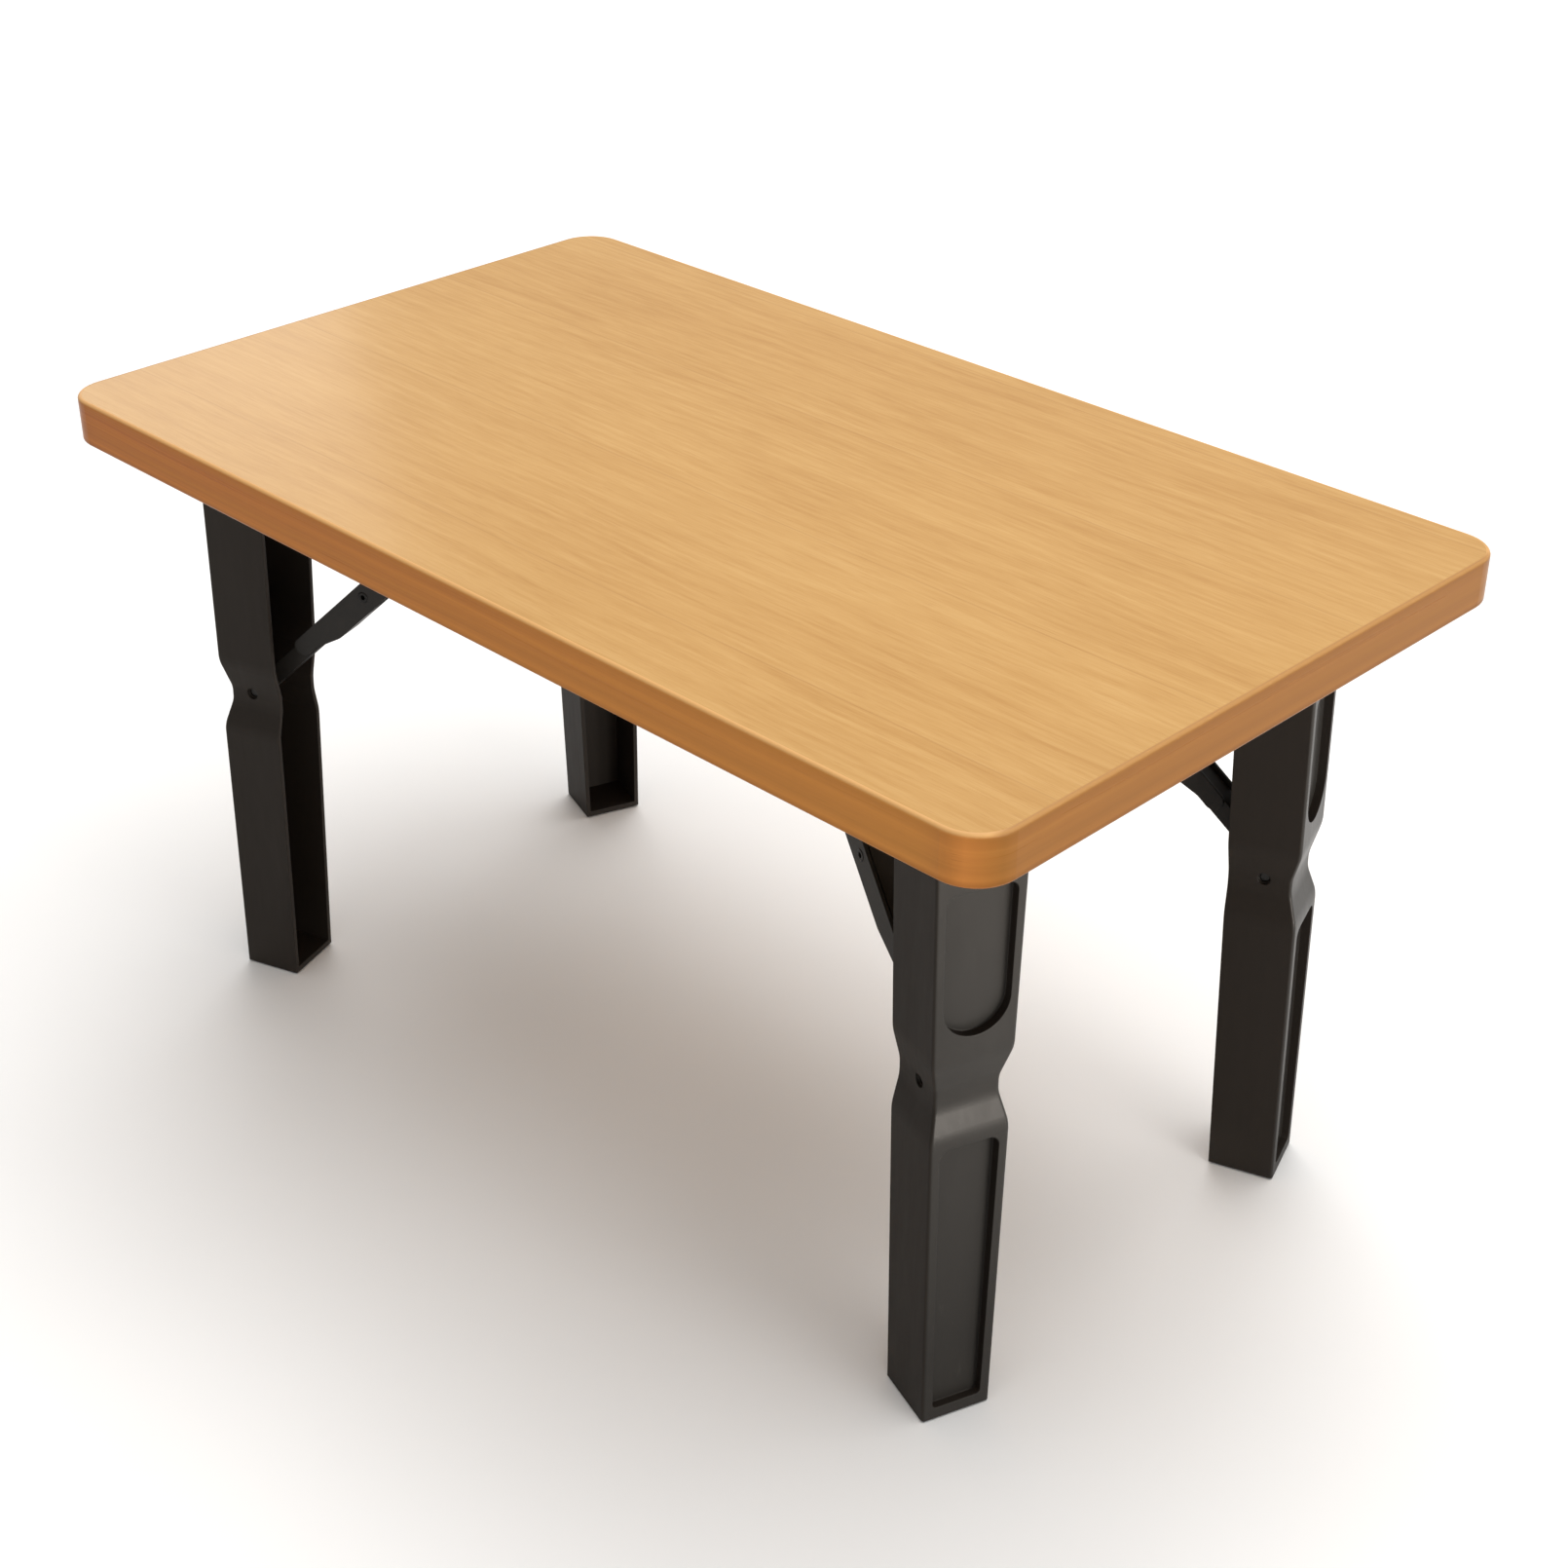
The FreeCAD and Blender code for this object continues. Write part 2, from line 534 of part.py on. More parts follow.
def link_low(label, place):
    body = new_body(label, place)
    n = label + "_"
    e = (1, "low_edge")
    outline = [
        (q((-1, "low_edge")), q((-1, "low_edge"))), (q((1, "low_link_length"), e), q((-1, "low_edge"))),
        (q((1, "low_link_length"), e), q(e)), (q((-1, "low_edge")), q(e)),
    ]
    sketch = sketch_on(body, n + "outline", "XZ_Plane", [outline])
    pad(body, n + "block", sketch, q((2, "low_half")), middle=True)
    ends = [(x, None, z) for x in (-D["low_edge"], low_len + D["low_edge"]) for z in (-D["low_edge"], D["low_edge"])]
    corner_fillet(body, n + "ends", V(0, 1, 0), ends, q(e, -0.1))
    inside = [
        (q(6.0), q(-8.0)), (q((1, "low_link_length"), -5.5), q(-8.0)),
        (q((1, "low_link_length"), -5.5), q((1, "low_web"))), (q(6.0), q((1, "low_web"))),
    ]
    sketch = sketch_on(body, n + "inside", "XZ_Plane", [inside])
    pocket(body, n + "channel", sketch, q((2, "low_inner")), middle=True)
    drill(body, n + "eye_hole", q((1, "running_radius")), q(40.0), FreeCAD.Placement(V(0, -20, 0), ALONG_Y))
    drill(body, n + "knee_hole", q((1, "rivet_radius")), q(40.0), FreeCAD.Placement(V(low_len, -20, 0), ALONG_Y))
    return body


def bracket_body(label, place):
    body = new_body(label, place)
    n = label + "_"
    f = (1, "bracket_flange")
    bx, bz = (1, "brace_x"), (1, "brace_z")
    outline = [
        (q((-1, "bracket_back")), q((1, "pivot_drop"))), (q((1, "bracket_front")), q((1, "pivot_drop"))),
        (q((1, "bracket_front")), q(f)), (q(bx, 11.0), q(f)), (q(bx, 7.5), q(bz, -2.0)),
        (q(bx, 3.6), q(bz, -7.4)), (q(bx, -3.0), q(bz, -7.4)), (q(bx, -7.5), q(bz, -2.0)),
        (q(bx, -11.0), q(f)), (q(14.0), q(f)), (q(8.0), q(2.0)), (q(5.0), q(-7.0)), (q(-5.0), q(-7.0)),
        (q(-8.0), q(0.0)), (q((-1, "bracket_back")), q(f, -2.0)),
    ]
    sketch = sketch_on(body, n + "outline", "XZ_Plane", [outline])
    pad(body, n + "block", sketch, q((2, "bracket_half")), middle=True)
    b, z = D["brace_x"], D["brace_z"]
    corner_fillet(body, n + "ears", V(0, 1, 0), [
        (b + 7.5, None, z - 2.0), (b + 3.6, None, z - 7.4), (b - 3.0, None, z - 7.4), (b - 7.5, None, z - 2.0),
        (8.0, None, 2.0), (5.0, None, -7.0), (-5.0, None, -7.0)], q(2.8))
    low = q((1, "pivot_drop"), (-1, "bracket_plate"))
    inside = [
        (q((-1, "bracket_back"), -5.0), q(-20.0)), (q((1, "bracket_front"), 5.0), q(-20.0)),
        (q((1, "bracket_front"), 5.0), low), (q((-1, "bracket_back"), -5.0), low),
    ]
    sketch = sketch_on(body, n + "inside", "XZ_Plane", [inside])
    pocket(body, n + "channel", sketch, q((2, "bracket_inner")), middle=True)
    for name, x, zz in (("pivot_hole", 0.0, 0.0), ("brace_hole", b, z)):
        drill(body, n + name, q((1, "pin_radius")), q(40.0), FreeCAD.Placement(V(x, -20, zz), ALONG_Y))
    circles = [(q((1, s)), q(0.0), q((1, "screw_hole"))) for s in ("screw_one", "screw_two", "screw_three", "screw_four")]
    sketch = sketch_on(body, n + "screw_holes", "XY_Plane", circles=circles, offset=q((1, "pivot_drop"), 2.0))
    pocket(body, n + "screw_cut", sketch, q(10.0))
    return body


def turned(label, place, rings):
    """Turned pieces about the local Y axis: each ring is (inner, outer, from, to) as q() values."""
    body = new_body(label, place)
    loops = []
    for inner, outer, low, high in rings:
        loops.append([(outer, low), (outer, high), (inner, high), (inner, low)])
    sketch = sketch_on(body, label + "_section", "XY_Plane", loops)
    feature = body.newObject("PartDesign::Revolution", label + "_turn")
    feature.Profile = sketch
    feature.ReferenceAxis = (sketch, ["V_Axis"])
    feature.Angle = 360.0
    doc.recompute()
    return body


def neg(pair):
    return -pair[0], "-1 * (%s)" % pair[1]


def screws(label, station):
    """Round-headed wood screws, one solid each, driven up through the bracket."""
    heads = []
    for number, name in enumerate(("screw_one", "screw_two", "screw_three", "screw_four"), 1):
        parts = []
        low = D["pivot_drop"] - D["bracket_plate"]
        head = doc.addObject("Part::Cylinder", "%s_head_%d" % (label, number))
        head.setExpression("Radius", "Dims.screw_head")
        head.setExpression("Height", "Dims.screw_head_thick")
        head.Placement = FreeCAD.Placement(V(D[name], 0, low - D["screw_head_thick"]), FreeCAD.Rotation())
        head.setExpression("Placement.Base.x", "Dims.%s" % name)
        dome = doc.addObject("Part::Fillet", "%s_dome_%d" % (label, number))
        dome.Base = head
        doc.recompute()
        rim = [i for i, e in enumerate(head.Shape.Edges, 1)
               if abs(e.BoundBox.ZMin - (low - D["screw_head_thick"])) < 1e-6 and e.BoundBox.ZLength < 1e-6]
        dome.Edges = [(i, 1.2, 1.2) for i in rim]
        shank = doc.addObject("Part::Cylinder", "%s_shank_%d" % (label, number))
        shank.setExpression("Radius", "Dims.screw_radius")
        shank.setExpression("Height", "Dims.screw_reach - Dims.pivot_drop + Dims.bracket_plate - 3")
        shank.Placement = FreeCAD.Placement(V(D[name], 0, low), FreeCAD.Rotation())
        shank.setExpression("Placement.Base.x", "Dims.%s" % name)
        point = doc.addObject("Part::Cone", "%s_point_%d" % (label, number))
        point.setExpression("Radius1", "Dims.screw_radius")
        point.Radius2 = 0.3
        point.Height = 3.0
        point.Placement = FreeCAD.Placement(V(D[name], 0, D["screw_reach"] - 3.0), FreeCAD.Rotation())
        point.setExpression("Placement.Base.x", "Dims.%s" % name)
        slot = doc.addObject("Part::Box", "%s_slot_%d" % (label, number))
        slot.Length, slot.Width, slot.Height = 4.6, 1.0, 0.9
        slot.Placement = FreeCAD.Placement(V(D[name] - 2.3, -0.5, low - D["screw_head_thick"] - 0.1), FreeCAD.Rotation())
        cross = doc.addObject("Part::Box", "%s_cross_%d" % (label, number))
        cross.Length, cross.Width, cross.Height = 1.0, 4.6, 0.9
        cross.Placement = FreeCAD.Placement(V(D[name] - 0.5, -2.3, low - D["screw_head_thick"] - 0.1), FreeCAD.Rotation())
        whole = doc.addObject("Part::MultiFuse", "%s_whole_%d" % (label, number))
        whole.Shapes = [dome, shank, point]
        cut_one = doc.addObject("Part::Cut", "%s_cut_%d" % (label, number))
        cut_one.Base, cut_one.Tool = whole, slot
        cut_two = doc.addObject("Part::Cut", "%s_screw_%d" % (label, number))
        cut_two.Base, cut_two.Tool = cut_one, cross
        heads.append(cut_two)
    group = doc.addObject("Part::Compound", label)
    group.Label = label
    group.Links = heads
    group.Placement = station
    doc.recompute()
    return group


for label, station in STATIONS.items():
    tilt = FreeCAD.Placement(V(0, 0, 0), FreeCAD.Rotation(V(0, 1, 0), D["leg_lean"]))
    leg_place = station.multiply(tilt)
    waist_place = leg_place.multiply(FreeCAD.Placement(V(0, 0, -reach), FreeCAD.Rotation()))
    low_place = station.multiply(in_plane(waist[0], waist[1], brace_angle))
    up_place = station.multiply(in_plane(D["brace_x"], D["brace_z"], brace_angle + 180.0))
    brace_place = station.multiply(FreeCAD.Placement(V(D["brace_x"], 0, D["brace_z"]), FreeCAD.Rotation()))
    knee_place = up_place.multiply(FreeCAD.Placement(V(up_len, 0, 0), FreeCAD.Rotation()))

    leg = leg_body(label + "_leg", leg_place, HAND[label])
    made.append(leg)

    foot_pad = new_body(label + "_foot_pad", leg_place)
    box = foot_pad.newObject("PartDesign::AdditiveBox", label + "_pad_block")
    for prop, (value, text) in (("Length", q((1, "pad_x"))), ("Width", q((1, "pad_y"))), ("Height", q((1, "pad_thick")))):
        setattr(box, prop, value)
        box.setExpression(prop, text)
    box.Placement = pad_place(HAND[label])
    doc.recompute()
    made.append(foot_pad)

    made.append(bracket_body(label + "_bracket", station))
    made.append(screws(label + "_bracket_screws", station))
    zero = q(0.0)
    for name, place, radius, half in (
            ("_hinge_pin", station, "pin_radius", "hinge_pin_half"),
            ("_brace_pin", brace_place, "pin_radius", "brace_pin_half"),
            ("_waist_pin", waist_place, "pin_radius", "waist_pin_half")):
        pin = new_body(label + name, place)
        sketch = sketch_on(pin, label + name + "_section", "XZ_Plane", circles=[(zero, zero, q((1, radius)))])
        pad(pin, label + name + "_rod", sketch, q((2, half)), middle=True)
        rims = edges_at(pin.Tip.Shape, lambda e: e.Curve.TypeId == "Part::GeomCircle")
        ease = pin.newObject("PartDesign::Chamfer", label + name + "_ease")
        ease.Base = (doc.getObject(label + name + "_rod"), rims)
        ease.Size = 0.4
        doc.recompute()
        made.append(pin)

    spacers = turned(label + "_waist_spacers", waist_place, [
        (q((1, "running_radius")), q((1, "spacer_radius")), q((1, "spacer_in")), q((1, "spacer_out"))),
        (q((1, "running_radius")), q((1, "spacer_radius")), neg(q((1, "spacer_out"))), neg(q((1, "spacer_in"))))])
    made.append(spacers)
    made.append(link_up(label + "_upper_link", up_place))
    made.append(link_low(label + "_lower_link", low_place))

    # knee rivets: two short hollow rivets, one in each side plate of the upper link
    rivets = new_body(label + "_knee_rivets", knee_place)
    section = []
    for sign in (1, -1):
        def s(pair, sign=sign):
            return pair if sign > 0 else neg(pair)
        bore, shank, flange = q((1, "rivet_bore")), q((1, "rivet_radius")), q((1, "rivet_head"))
        face, proud = q((1, "up_half")), q((1, "up_half"), (1, "rivet_proud"))
        inside_face, button = q((1, "up_inner")), q((1, "rivet_inner"))
        section.append([(bore, s(button)), (q((1, "rivet_head"), -0.6), s(button)), (q((1, "rivet_head"), -0.6), s(inside_face)),
                        (shank, s(inside_face)), (shank, s(face)), (flange, s(face)), (q((1, "rivet_head"), -0.4), s(proud)),
                        (bore, s(proud))])
    sketch = sketch_on(rivets, label + "_rivet_section", "XY_Plane", section)
    feature = rivets.newObject("PartDesign::Revolution", label + "_rivet_turn")
    feature.Profile = sketch
    feature.ReferenceAxis = (sketch, ["V_Axis"])
    feature.Angle = 360.0
    doc.recompute()
    made.append(rivets)

doc.recompute()

# ------------------------------------------------------------- check, export
bad = []
for item in doc.Objects:
    state = " ".join(item.State)
    if "Invalid" in state or "Error" in state:
        bad.append((item.Name, state))
for item in made:
    if item.Shape.isNull() or not item.Shape.isValid():
        bad.append((item.Name, "bad shape"))
if bad:
    raise SystemExit("failed: %r" % bad)
for item in made:
    item.Shape.exportStep("parts/%s.step" % item.Label)
    print("%-34s solids %d  volume %9.1f" % (item.Label, len(item.Shape.Solids), item.Shape.Volume))
print(len(made), "nodes")
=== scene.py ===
import json

import bpy
from mathutils import Matrix, Vector

# Folding low table: wood-grain board on black moulded legs with jackknife braces.

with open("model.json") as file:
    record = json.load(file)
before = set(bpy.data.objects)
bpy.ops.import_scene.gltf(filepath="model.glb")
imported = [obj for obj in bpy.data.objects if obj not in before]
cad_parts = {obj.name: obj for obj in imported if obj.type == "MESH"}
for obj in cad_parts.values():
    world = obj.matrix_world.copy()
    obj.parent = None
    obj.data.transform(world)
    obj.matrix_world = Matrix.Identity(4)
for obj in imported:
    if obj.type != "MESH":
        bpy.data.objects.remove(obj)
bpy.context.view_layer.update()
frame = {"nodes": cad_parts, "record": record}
nodes = frame["nodes"]
scene = bpy.context.scene


# ---------------------------------------------------------------- node helper
class Tree:
    """Builds a material's node tree with short calls."""

    def __init__(self, name):
        self.material = bpy.data.materials.new(name)
        self.material.use_nodes = True
        self.nt = self.material.node_tree
        self.nt.nodes.clear()
        self.out = self.nt.nodes.new("ShaderNodeOutputMaterial")
        self.bsdf = self.nt.nodes.new("ShaderNodeBsdfPrincipled")
        self.nt.links.new(self.bsdf.outputs[0], self.out.inputs["Surface"])
        coord = self.nt.nodes.new("ShaderNodeTexCoord")
        self.object = coord.outputs["Object"]
        split = self.nt.nodes.new("ShaderNodeSeparateXYZ")
        self.nt.links.new(self.object, split.inputs[0])
        self.x, self.y, self.z = split.outputs
        facing = self.nt.nodes.new("ShaderNodeSeparateXYZ")
        self.nt.links.new(coord.outputs["Normal"], facing.inputs[0])
        self.side = facing.outputs[0]

    def put(self, socket, value):
        if isinstance(value, bpy.types.NodeSocket):
            self.nt.links.new(value, socket)
        else:
            socket.default_value = value

    def set(self, **values):
        for key, value in values.items():
            self.put(self.bsdf.inputs[key.replace("_", " ")], value)

    def math(self, op, a, b=0.0, clamp=False):
        node = self.nt.nodes.new("ShaderNodeMath")
        node.operation, node.use_clamp = op, clamp
        self.put(node.inputs[0], a)
        self.put(node.inputs[1], b)
        return node.outputs[0]

    def vector(self, x, y, z):
        node = self.nt.nodes.new("ShaderNodeCombineXYZ")
        for socket, value in zip(node.inputs, (x, y, z)):
            self.put(socket, value)
        return node.outputs[0]

    def noise(self, vector, scale=1.0, detail=2.0, rough=0.5, distortion=0.0):
        node = self.nt.nodes.new("ShaderNodeTexNoise")
        self.put(node.inputs["Vector"], vector)
        node.inputs["Scale"].default_value = scale
        node.inputs["Detail"].default_value = detail
        node.inputs["Roughness"].default_value = rough
        node.inputs["Distortion"].default_value = distortion
        return node.outputs["Fac"]

    def cells(self, vector):
        node = self.nt.nodes.new("ShaderNodeTexWhiteNoise")
        node.noise_dimensions = "3D"
        self.put(node.inputs["Vector"], vector)
        return node.outputs["Value"]

    def ramp(self, fac, *stops):
        node = self.nt.nodes.new("ShaderNodeValToRGB")
        self.put(node.inputs["Fac"], fac)
        elements = node.color_ramp.elements
        while len(elements) < len(stops):
            elements.new(0.5)
        for element, (position, colour) in zip(elements, stops):
            element.position = position
            element.color = (*colour, 1.0) if len(colour) == 3 else colour
        return node.outputs["Color"]

    def fit(self, value, low, high, to_low=0.0, to_high=1.0, smooth=False):
        node = self.nt.nodes.new("ShaderNodeMapRange")
        node.interpolation_type = "SMOOTHSTEP" if smooth else "LINEAR"
        for socket, v in zip(node.inputs, (value, low, high, to_low, to_high)):
            self.put(socket, v)
        return node.outputs[0]

    def mix(self, fac, a, b, blend="MIX"):
        node = self.nt.nodes.new("ShaderNodeMix")
        node.data_type, node.blend_type = "RGBA", blend
        self.put(node.inputs["Factor"], fac)
        for socket, value in ((node.inputs[6], a), (node.inputs[7], b)):
            self.put(socket, (*value, 1.0) if isinstance(value, tuple) and len(value) == 3 else value)
        return node.outputs[2]

    def bump(self, height, strength, distance, normal=None):
        node = self.nt.nodes.new("ShaderNodeBump")
        node.inputs["Strength"].default_value = strength
        node.inputs["Distance"].default_value = distance
        self.put(node.inputs["Height"], height)
        if normal is not None:
            self.put(node.inputs["Normal"], normal)
        return node.outputs[0]

    def soft_edges(self, radius):
        node = self.nt.nodes.new("ShaderNodeBevel")
        node.samples = 6
        node.inputs["Radius"].default_value = radius
        return node.outputs[0]


# ------------------------------------------------------------------ materials
def top_laminate():
    t = Tree("oak_laminate_top")
    wander = t.noise(t.vector(t.math("MULTIPLY", t.x, 3.2), t.math("MULTIPLY", t.y, 7.0), 0.0), 1.0, 2.0)
    y = t.math("ADD", t.y, t.math("MULTIPLY", t.math("SUBTRACT", wander, 0.5), 0.012))
    strip = t.math("FLOOR", t.math("DIVIDE", t.math("ADD", t.y, 1.013), 0.098))
    tone = t.cells(t.vector(strip, 3.0, 5.0))
    shift = t.math("MULTIPLY", strip, 7.31)
    fine = t.noise(t.vector(t.math("MULTIPLY", t.x, 24.0), t.math("MULTIPLY", y, 400.0), shift), 1.0, 5.0, 0.66)
    mid = t.noise(t.vector(t.math("MULTIPLY", t.x, 8.0), t.math("MULTIPLY", y, 130.0), shift), 1.0, 4.0, 0.60)
    broad = t.noise(t.vector(t.math("MULTIPLY", t.x, 1.7), t.math("MULTIPLY", y, 26.0), shift), 1.0, 3.0, 0.5)
    flecks = t.noise(t.vector(t.math("MULTIPLY", t.x, 60.0), t.math("MULTIPLY", y, 1500.0), shift), 1.0, 2.0, 0.6)
    cloud = t.noise(t.object, 7.0, 3.0, 0.55)
    grain = t.math("ADD", t.math("MULTIPLY", fine, 0.48), t.math("ADD", t.math("MULTIPLY", mid, 0.30), t.math("MULTIPLY", broad, 0.22)))
    colour = t.ramp(grain, (0.30, (0.435, 0.214, 0.054)), (0.44, (0.515, 0.280, 0.082)), (0.55, (0.565, 0.322, 0.104)), (0.72, (0.632, 0.384, 0.140)))
    colour = t.mix(t.fit(flecks, 0.58, 0.72, 0.0, 0.42), colour, (0.41, 0.190, 0.045))
    colour = t.mix(t.fit(cloud, 0.35, 0.7, 0.0, 0.16), colour, (0.69, 0.41, 0.14))
    colour = t.mix(t.fit(tone, 0.0, 1.0, 0.0, 0.16), colour, (0.47, 0.24, 0.060))
    seam = t.math("ABSOLUTE", t.math("SUBTRACT", t.math("FRACT", t.math("DIVIDE", t.math("ADD", t.y, 1.013), 0.098)), 0.5))
    seam = t.fit(seam, 0.4925, 0.4985, 0.0, 0.26, smooth=True)
    colour = t.mix(seam, colour, (0.34, 0.155, 0.038))
    smear = t.noise(t.object, 5.5, 3.0, 0.6)
    rough = t.fit(t.math("ADD", t.math("MULTIPLY", fine, 0.5), t.math("MULTIPLY", smear, 0.5)), 0.3, 0.7, 0.17, 0.27)
    t.set(Base_Color=colour, Roughness=rough, Specular_IOR_Level=0.5, Coat_Weight=0.25, Coat_Roughness=0.12,
          Normal=t.bump(t.math("ADD", fine, t.math("MULTIPLY", flecks, -0.6)), 0.10, 0.0002))
    return t.material


def edge_wood():
    t = Tree("wood_edge_band")
    run = t.math("ADD", t.x, t.math("MULTIPLY", t.y, 0.93))
    wave = t.noise(t.vector(t.math("MULTIPLY", run, 4.0), 2.0, 0.0), 1.0, 2.0)
    z = t.math("ADD", t.z, t.math("MULTIPLY", t.math("SUBTRACT", wave, 0.5), 0.008))
    fine = t.noise(t.vector(t.math("MULTIPLY", run, 5.0), t.math("MULTIPLY", z, 900.0), 4.0), 1.0, 4.0, 0.62)
    mid = t.noise(t.vector(t.math("MULTIPLY", run, 2.4), t.math("MULTIPLY", z, 230.0), 9.0), 1.0, 3.0, 0.55)
    pores = t.noise(t.vector(t.math("MULTIPLY", run, 75.0), t.math("MULTIPLY", z, 2600.0), 1.0), 1.0, 2.0, 0.6)
    grain = t.math("ADD", t.math("MULTIPLY", fine, 0.45), t.math("MULTIPLY", mid, 0.55))
    colour = t.ramp(grain, (0.28, (0.360, 0.093, 0.007)), (0.45, (0.462, 0.134, 0.010)), (0.58, (0.533, 0.176, 0.015)), (0.75, (0.62, 0.240, 0.031)))
    # painted light: the band is coloured lighter towards its +x end, the side the right lamp lights
    colour = t.mix(t.fit(t.x, -0.25, 0.25, 0.0, 0.64), colour, (0.64, 0.280, 0.062))
    # painted shade: the faces turned towards ±x get a darker colour
    colour = t.mix(t.fit(t.math("ABSOLUTE", t.side), 0.5, 0.95, 0.0, 0.74), colour, t.mix(mid, (0.165, 0.067, 0.006), (0.262, 0.128, 0.020)))
    colour = t.mix(t.fit(pores, 0.62, 0.76, 0.0, 0.35), colour, (0.24, 0.078, 0.018))
    # painted shade: the rounded corners and the short ends are dimmed and made less orange
    turn = t.fit(t.math("ABSOLUTE", t.x), 0.268, 0.293, smooth=True)
    colour = t.mix(turn, colour, (0.85, 0.80, 0.96), "MULTIPLY")
    # painted shade and painted reflection over the height of the band, as its rounded rims catch light: darker at
    # both rims, lighter under the upper one and just above the lower one
    tone = t.ramp(t.fit(t.z, 0.3117, 0.3350), (0.00, (0.66, 0.62, 0.58)), (0.07, (0.76, 0.72, 0.68)), (0.16, (1.0, 1.0, 1.0)),
                  (0.33, (0.88, 0.88, 0.88)), (0.70, (1.0, 1.0, 1.0)), (0.90, (0.84, 0.82, 0.80)), (0.94, (0.90, 0.90, 0.90)))
    colour = t.mix(1.0, colour, tone, "MULTIPLY")
    # painted highlight: a pale line along the rounded top rim, duller on the short ends
    high = t.fit(t.z, 0.3333, 0.3346, 0.0, 0.80, smooth=True)
    short = t.fit(t.math("ABSOLUTE", t.x), 0.2955, 0.2990, smooth=True)
    colour = t.mix(high, colour, t.mix(short, (0.66, 0.390, 0.160), (0.40, 0.225, 0.088)))
    rough = t.fit(mid, 0.3, 0.7, 0.26, 0.36)
    t.set(Base_Color=colour, Roughness=rough, Specular_IOR_Level=0.13, Specular_Tint=(1.0, 0.84, 0.64, 1.0),
          Normal=t.bump(fine, 0.12, 0.0002))
    return t.material


def board_core():
    t = Tree("pressed_board_core")
    chips = t.noise(t.object, 420.0, 3.0, 0.65)
    flakes = t.noise(t.vector(t.math("MULTIPLY", t.x, 90.0), t.math("MULTIPLY", t.y, 160.0), t.math("MULTIPLY", t.z, 260.0)), 1.0, 3.0, 0.6)
    colour = t.ramp(t.math("ADD", t.math("MULTIPLY", chips, 0.5), t.math("MULTIPLY", flakes, 0.5)),
                    (0.3, (0.30, 0.19, 0.10)), (0.5, (0.50, 0.36, 0.21)), (0.7, (0.66, 0.52, 0.33)))
    t.set(Base_Color=colour, Roughness=0.85, Specular_IOR_Level=0.3, Normal=t.bump(chips, 0.5, 0.0006))
    return t.material


def backing_sheet():
    t = Tree("backing_laminate_sheet")
    fine = t.noise(t.vector(t.math("MULTIPLY", t.x, 5.0), t.math("MULTIPLY", t.y, 380.0), 2.0), 1.0, 4.0, 0.6)
    broad = t.noise(t.vector(t.math("MULTIPLY", t.x, 1.6), t.math("MULTIPLY", t.y, 34.0), 5.0), 1.0, 3.0, 0.5)
    dust = t.noise(t.object, 38.0, 4.0, 0.65)
    colour = t.ramp(t.math("ADD", t.math("MULTIPLY", fine, 0.5), t.math("MULTIPLY", broad, 0.5)),
                    (0.3, (0.43, 0.245, 0.105)), (0.5, (0.53, 0.315, 0.145)), (0.72, (0.60, 0.37, 0.18)))
    colour = t.mix(t.fit(dust, 0.5, 0.75, 0.0, 0.14), colour, (0.66, 0.50, 0.33))
    t.set(Base_Color=colour, Roughness=t.fit(dust, 0.3, 0.7, 0.42, 0.56), Specular_IOR_Level=0.4, Normal=t.bump(fine, 0.15, 0.0002))
    return t.material


def moulded_plastic():
    t = Tree("black_moulded_plastic")
    spark = t.noise(t.object, 2600.0, 2.0, 0.6)
    flow = t.noise(t.vector(t.math("MULTIPLY", t.x, 40.0), t.math("MULTIPLY", t.y, 40.0), t.math("MULTIPLY", t.z, 7.0)), 1.0, 4.0, 0.6)
    scuff = t.noise(t.vector(t.math("MULTIPLY", t.x, 300.0), t.math("MULTIPLY", t.y, 300.0), t.math("MULTIPLY", t.z, 45.0)), 1.0, 3.0, 0.7)
    colour = t.ramp(flow, (0.3, (0.0300, 0.0273, 0.0241)), (0.7, (0.0390, 0.0357, 0.0318)))
    # painted shade: the plastic is coloured darker towards the foot
    colour = t.mix(t.fit(t.z, 0.01, 0.28, 0.96, 0.0), colour, (0.0065, 0.0057, 0.0048))
    colour = t.mix(t.fit(scuff, 0.66, 0.80, 0.0, 0.30), colour, (0.050, 0.046, 0.042))
    # painted shade: the side walls and the hollow are coloured a darker, warmer black than the outer face; they are
    # also made rougher
    outer = t.fit(t.math("MULTIPLY", t.side, t.math("SIGN", t.x)), 0.45, 0.85, smooth=True)
    colour = t.mix(t.math("MULTIPLY", t.math("SUBTRACT", 1.0, outer), 0.85), colour, (0.0108, 0.0070, 0.0045))
    dust = t.fit(t.z, 0.0, 0.04, 0.10, 0.0, smooth=True)
    colour = t.mix(t.math("MULTIPLY", dust, flow), colour, (0.12, 0.105, 0.09))
    rough = t.fit(t.math("ADD", t.math("MULTIPLY", flow, 0.6), t.math("MULTIPLY", scuff, 0.4)), 0.3, 0.7, 0.31, 0.43)
    rough = t.math("ADD", rough, t.fit(outer, 0.0, 1.0, 0.25, 0.0))
    rough = t.math("ADD", rough, t.math("MULTIPLY", outer, t.fit(t.z, 0.02, 0.15, 0.16, 0.0)))
    t.set(Base_Color=colour, Roughness=rough, Specular_IOR_Level=0.24, Specular_Tint=(1.0, 0.93, 0.86, 1.0),
          Normal=t.bump(spark, 0.14, 0.00012, t.soft_edges(0.0007)))
    return t.material


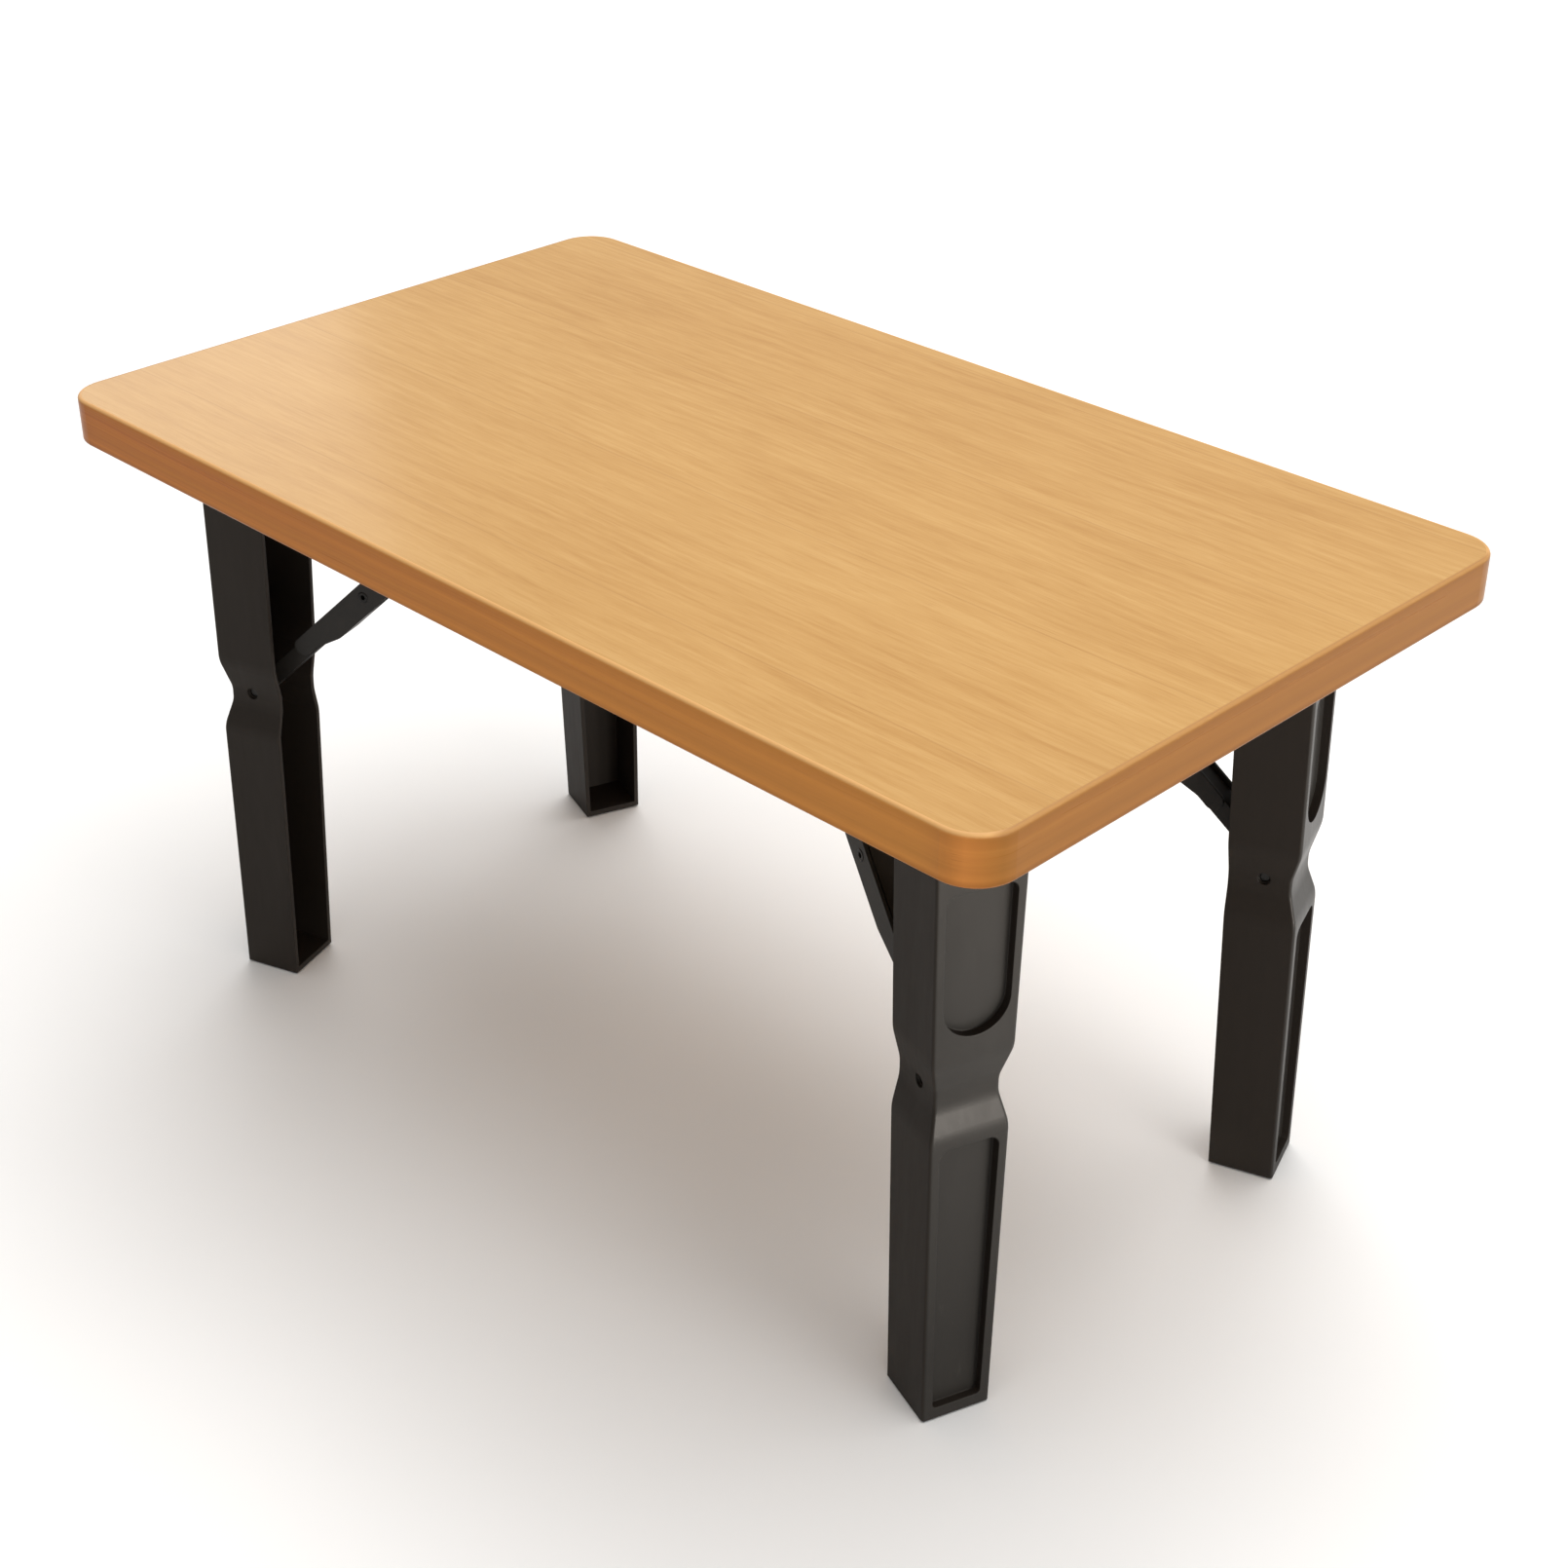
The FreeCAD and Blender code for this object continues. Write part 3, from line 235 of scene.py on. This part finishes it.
def powder_coat(name, tint):
    t = Tree(name)
    peel = t.noise(t.object, 900.0, 2.0, 0.5)
    patch = t.noise(t.object, 55.0, 4.0, 0.6)
    rub = t.noise(t.object, 260.0, 3.0, 0.7)
    dark = tuple(c * 0.82 for c in tint)
    light = tuple(c * 1.25 for c in tint)
    colour = t.ramp(patch, (0.3, dark), (0.7, light))
    colour = t.mix(t.fit(rub, 0.70, 0.82, 0.0, 0.4), colour, (0.085, 0.080, 0.075))
    t.set(Base_Color=colour, Roughness=t.fit(patch, 0.3, 0.7, 0.36, 0.48), Specular_IOR_Level=0.16, Metallic=0.0,
          Normal=t.bump(peel, 0.22, 0.00015, t.soft_edges(0.0005)))
    return t.material


def steel(name, dark, light, rough_low, rough_high, metallic=1.0):
    t = Tree(name)
    brush = t.noise(t.vector(t.math("MULTIPLY", t.x, 700.0), t.math("MULTIPLY", t.y, 700.0), t.math("MULTIPLY", t.z, 90.0)), 1.0, 3.0, 0.6)
    stain = t.noise(t.object, 240.0, 3.0, 0.6)
    colour = t.ramp(t.math("ADD", t.math("MULTIPLY", brush, 0.4), t.math("MULTIPLY", stain, 0.6)), (0.3, dark), (0.7, light))
    t.set(Base_Color=colour, Roughness=t.fit(stain, 0.3, 0.7, rough_low, rough_high), Metallic=metallic,
          Normal=t.bump(brush, 0.12, 0.0001, t.soft_edges(0.0003)))
    return t.material


def foot_rubber():
    t = Tree("foot_rubber")
    grit = t.noise(t.object, 700.0, 4.0, 0.7)
    wear = t.noise(t.object, 60.0, 3.0, 0.6)
    colour = t.ramp(wear, (0.3, (0.016, 0.016, 0.016)), (0.7, (0.040, 0.038, 0.036)))
    t.set(Base_Color=colour, Roughness=t.fit(grit, 0.3, 0.7, 0.75, 0.92), Specular_IOR_Level=0.3, Normal=t.bump(grit, 0.4, 0.0003))
    return t.material


made = {
    "oak_laminate": top_laminate(), "wood_edge": edge_wood(), "core_board": board_core(), "backing_sheet": backing_sheet(),
    "black_plastic": moulded_plastic(), "foot_rubber": foot_rubber(),
    "black_bracket": powder_coat("black_powder_coat_bracket", (0.015, 0.0132, 0.0115)),
    "black_brace": powder_coat("black_powder_coat_brace", (0.018, 0.0158, 0.0137)),
    "rivet_black": powder_coat("black_rivet", (0.012, 0.0105, 0.0092)),
    "screw_steel": steel("zinc_screw", (0.30, 0.29, 0.27), (0.55, 0.54, 0.51), 0.28, 0.42),
    "pin_steel": steel("dark_pin", (0.014, 0.013, 0.012), (0.034, 0.032, 0.030), 0.40, 0.54, 0.5),
    "spacer_zinc": steel("zinc_spacer", (0.42, 0.41, 0.38), (0.66, 0.65, 0.60), 0.22, 0.36),
}
slot_of = {s["node"]: s["material_slot"] for s in frame["record"]["subparts"]}
for name, obj in nodes.items():
    obj.data.materials.clear()
    obj.data.materials.append(made[slot_of[name]])


# ---------------------------------------------------------------------- stage
def floor_plane():
    mesh = bpy.data.meshes.new("studio_floor")
    size = 9.0
    mesh.from_pydata([(-size, -size, 0), (size, -size, 0), (size, size, 0), (-size, size, 0)], [], [(0, 1, 2, 3)])
    obj = bpy.data.objects.new("studio_floor", mesh)
    scene.collection.objects.link(obj)
    t = Tree("studio_floor")
    mottle = t.noise(t.object, 3.0, 3.0, 0.5)
    t.set(Base_Color=t.ramp(mottle, (0.3, (0.90, 0.898, 0.895)), (0.7, (0.92, 0.918, 0.915))), Roughness=0.9, Specular_IOR_Level=0.1)
    mesh.materials.append(t.material)
    return obj


floor = floor_plane()


def area(name, location, target, size, power, colour=(1.0, 1.0, 1.0)):
    data = bpy.data.lights.new(name, "AREA")
    data.shape, data.size, data.size_y = "RECTANGLE", size[0], size[1]
    data.energy, data.color = power, colour
    obj = bpy.data.objects.new(name, data)
    scene.collection.objects.link(obj)
    obj.location = location
    obj.rotation_mode = "QUATERNION"
    obj.rotation_quaternion = (Vector(target) - Vector(location)).to_track_quat("-Z", "Y")
    return obj


area("window_left", (-2.6, 0.75, 1.25), (-0.2, 0.0, 0.33), (1.5, 1.3), 5.0, (1.0, 0.975, 0.94))
area("overhead", (0.45, 0.30, 2.8), (0.05, 0.05, 0.3), (3.0, 2.4), 67.0, (1.0, 0.985, 0.965))
area("backdrop_light", (-1.3, 1.5, 3.2), (-1.9, 2.3, 0.0), (2.0, 2.0), 62.0, (1.0, 0.99, 0.98))
# lower than the top, so that the top doesn't mirror it
area("right_fill", (2.5, 0.0, 0.165), (0.25, -0.1, 0.165), (1.1, 0.31), 38.0, (1.0, 0.985, 0.96))

world = bpy.data.worlds.new("studio_world")
scene.world = world
world.use_nodes = True
background = world.node_tree.nodes["Background"]
background.inputs[0].default_value = (1.0, 0.995, 0.985, 1.0)
background.inputs[1].default_value = 0.40

# --------------------------------------------------------------------- camera
data = bpy.data.cameras.new("camera")
data.sensor_width, data.sensor_fit = 36.0, "HORIZONTAL"
data.lens = 58.582
data.clip_start, data.clip_end = 0.05, 60.0
camera = bpy.data.objects.new("camera", data)
scene.collection.objects.link(camera)
right = Vector((0.71069859, 0.70348770, 0.00354440))
up = Vector((-0.36050608, 0.35986565, 0.86054174))
back = Vector((0.60410502, -0.61286358, 0.50936761))
turn = Matrix((right, up, back)).transposed()
camera.rotation_mode = "QUATERNION"
camera.rotation_quaternion = turn.to_quaternion()
camera.location = (0.78440, -0.76576, 0.81113)
scene.camera = camera

scene.view_settings.view_transform = "Standard"
scene.view_settings.look = "None"
scene.view_settings.exposure = 0.0
scene.view_settings.gamma = 1.0
